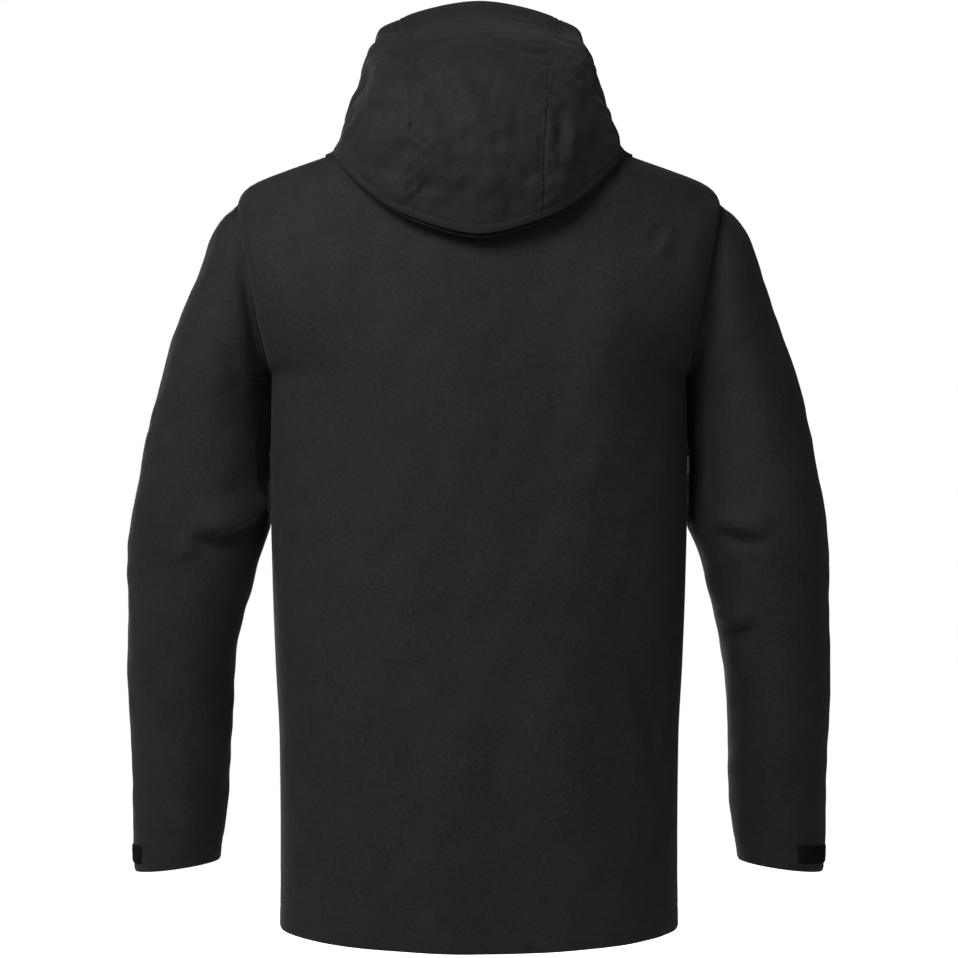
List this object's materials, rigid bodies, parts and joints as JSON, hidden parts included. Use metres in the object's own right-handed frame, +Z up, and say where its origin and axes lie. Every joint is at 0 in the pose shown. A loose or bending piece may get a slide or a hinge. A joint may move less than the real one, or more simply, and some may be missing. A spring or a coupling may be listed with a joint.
{
  "type": "hardshell jacket",
  "caption": "Long hooded waterproof shell jacket with a stiff-peaked hood, front zip, zipped hand pockets, hook-and-loop cuff tabs and a hem drawcord.",
  "frame": {"origin": "top of the hang loop inside the back of the collar, at the loop's inner face", "axes": "+Z up as worn, +X to the wearer's left, +Y to the wearer's back, so the wearer faces -Y"},
  "size_m": [0.7038, 0.2777, 0.9527],
  "materials": {
    "shell": "matt finely woven three-layer shell cloth, near black",
    "lining": "matt knitted backer, dark grey",
    "zip": "water-resistant coated tape with moulded teeth, black",
    "metal": "black-painted zinc",
    "plastic": "moulded black plastic and laminated tab film",
    "hook_loop": "napped loop tape, black",
    "cord": "braided elastic cord, black"
  },
  "bodies": {
    "jacket_body": {"back_panel": "shell", "front_panel_left": "shell", "front_panel_right": "shell", "front_fold_left": "shell", "front_fold_right": "shell", "hem_facing_back": "lining", "hem_drawcord": "cord", "hem_cord_lock_left": "plastic", "hem_cord_lock_right": "plastic", "collar": "shell", "hang_loop": "lining", "hood_cheek_left": "shell", "hood_cheek_right": "shell", "hood_back_left": "shell", "hood_back_right": "shell", "hood_back_centre": "shell", "hood_neck_band": "shell", "zip_half_upper_left": "zip", "zip_half_upper_right": "zip", "storm_flap_upper": "lining", "chin_guard": "shell", "pocket_zip_left": "zip", "pocket_zip_right": "zip", "pocket_bag_left": "lining", "pocket_bag_right": "lining", "hood_cord_lock_left": "plastic", "hood_cord_lock_right": "plastic", "sleeve_head_left": "shell", "sleeve_head_right": "shell"},
    "hood": {"hood_front_left": "shell", "hood_front_right": "shell", "hood_front_centre": "shell", "hood_peak_stiffener": "plastic"},
    "left_corner": {"front_corner_left": "shell", "zip_half_lower_left": "zip", "storm_flap_lower": "lining"},
    "right_corner": {"front_corner_right": "shell", "zip_half_lower_right": "zip"},
    "top_slider": {"top_slider": "metal"},
    "top_pull": {"top_pull": "plastic"},
    "low_slider": {"low_slider": "metal"},
    "low_pull": {"low_pull": "plastic"},
    "left_pocket_slider": {"pocket_slider_left": "metal"},
    "right_pocket_slider": {"pocket_slider_right": "metal"},
    "left_hem_button": {"hem_lock_button_left": "plastic"},
    "right_hem_button": {"hem_lock_button_right": "plastic"},
    "left_hood_button": {"hood_lock_button_left": "plastic"},
    "right_hood_button": {"hood_lock_button_right": "plastic"},
    "left_upper_arm": {"upper_sleeve_left": "shell", "elbow_section_left": "shell"},
    "left_forearm": {"forearm_sleeve_left": "shell", "cuff_loop_patch_left": "hook_loop"},
    "left_cuff_tab": {"cuff_tab_left": "plastic"},
    "right_upper_arm": {"upper_sleeve_right": "shell", "elbow_section_right": "shell"},
    "right_forearm": {"forearm_sleeve_right": "shell", "cuff_loop_patch_right": "hook_loop"},
    "right_cuff_tab": {"cuff_tab_right": "plastic"}
  },
  "joints": [
    {"name": "hood_fold", "type": "hinge", "parent": "jacket_body", "child": "hood", "pos_m": [0, -0.0426, -0.011], "axis": [-1, 0, 0], "range_deg": [0, 100], "deforming": ["hood_cheek_left", "hood_cheek_right", "hood_back_left", "hood_back_right", "hood_back_centre", "hood_neck_band"]},
    {"name": "top_slider_slide", "type": "slide", "parent": "jacket_body", "child": "top_slider", "axis": [0, -0.0375, -0.9993], "range_m": [0, 0.165]},
    {"name": "top_pull_swing", "type": "hinge", "parent": "top_slider", "child": "top_pull", "pos_m": [0, -0.1617, -0.009], "axis": [-1, 0, 0], "range_deg": [0, 150]},
    {"name": "low_slider_slide", "type": "slide", "parent": "jacket_body", "child": "low_slider", "axis": [0, 0.0375, 0.9993], "range_m": [0, 0.165]},
    {"name": "low_pull_swing", "type": "hinge", "parent": "low_slider", "child": "low_pull", "pos_m": [0, -0.1761, -0.385], "axis": [-1, 0, 0], "range_deg": [0, 150]},
    {"name": "left_front_fold", "type": "hinge", "parent": "jacket_body", "child": "left_corner", "pos_m": [0.0099, -0.1706, -0.426], "axis": [-0.3497, -0.0359, 0.9362], "range_deg": [0, 80], "deforming": ["front_fold_left", "storm_flap_lower"]},
    {"name": "left_sleeve_raise", "type": "hinge", "parent": "jacket_body", "child": "left_upper_arm", "pos_m": [0.212, -0.0576, -0.268], "axis": [0, -1, 0], "range_deg": [0, 75], "deforming": ["sleeve_head_left"]},
    {"name": "left_elbow_bend", "type": "hinge", "parent": "left_upper_arm", "child": "left_forearm", "pos_m": [0.2833, -0.084, -0.4213], "axis": [-1, 0, 0], "range_deg": [0, 85], "deforming": ["elbow_section_left"]},
    {"name": "left_cuff_tab_open", "type": "hinge", "parent": "left_forearm", "child": "left_cuff_tab", "pos_m": [0.266, -0.1221, -0.724], "axis": [0.1075, -0.0905, -0.9901], "range_deg": [0, 100]},
    {"name": "left_pocket_slide", "type": "slide", "parent": "jacket_body", "child": "left_pocket_slider", "axis": [0.1007, 0.0266, -0.9946], "range_m": [0, 0.13]},
    {"name": "left_hem_button_press", "type": "slide", "parent": "jacket_body", "child": "left_hem_button", "axis": [0, 0, -1], "range_m": [0, 0.004], "stiffness_N_per_m": 250, "springref_m": -0.002},
    {"name": "left_hood_button_press", "type": "slide", "parent": "jacket_body", "child": "left_hood_button", "axis": [0, 0, -1], "range_m": [0, 0.004], "stiffness_N_per_m": 250, "springref_m": -0.002},
    {"name": "right_front_fold", "type": "hinge", "parent": "jacket_body", "child": "right_corner", "pos_m": [-0.0099, -0.1706, -0.426], "axis": [-0.3497, 0.0359, -0.9362], "range_deg": [0, 80], "deforming": ["front_fold_right"]},
    {"name": "right_sleeve_raise", "type": "hinge", "parent": "jacket_body", "child": "right_upper_arm", "pos_m": [-0.212, -0.0576, -0.268], "axis": [0, 1, 0], "range_deg": [0, 75], "deforming": ["sleeve_head_right"]},
    {"name": "right_elbow_bend", "type": "hinge", "parent": "right_upper_arm", "child": "right_forearm", "pos_m": [-0.2833, -0.084, -0.4213], "axis": [-1, 0, 0], "range_deg": [0, 85], "deforming": ["elbow_section_right"]},
    {"name": "right_cuff_tab_open", "type": "hinge", "parent": "right_forearm", "child": "right_cuff_tab", "pos_m": [-0.266, -0.1221, -0.724], "axis": [0.1075, 0.0905, 0.9901], "range_deg": [0, 100]},
    {"name": "right_pocket_slide", "type": "slide", "parent": "jacket_body", "child": "right_pocket_slider", "axis": [-0.1007, 0.0266, -0.9946], "range_m": [0, 0.13]},
    {"name": "right_hem_button_press", "type": "slide", "parent": "jacket_body", "child": "right_hem_button", "axis": [0, 0, -1], "range_m": [0, 0.004], "stiffness_N_per_m": 250, "springref_m": -0.002},
    {"name": "right_hood_button_press", "type": "slide", "parent": "jacket_body", "child": "right_hood_button", "axis": [0, 0, -1], "range_m": [0, 0.004], "stiffness_N_per_m": 250, "springref_m": -0.002}
  ]
}
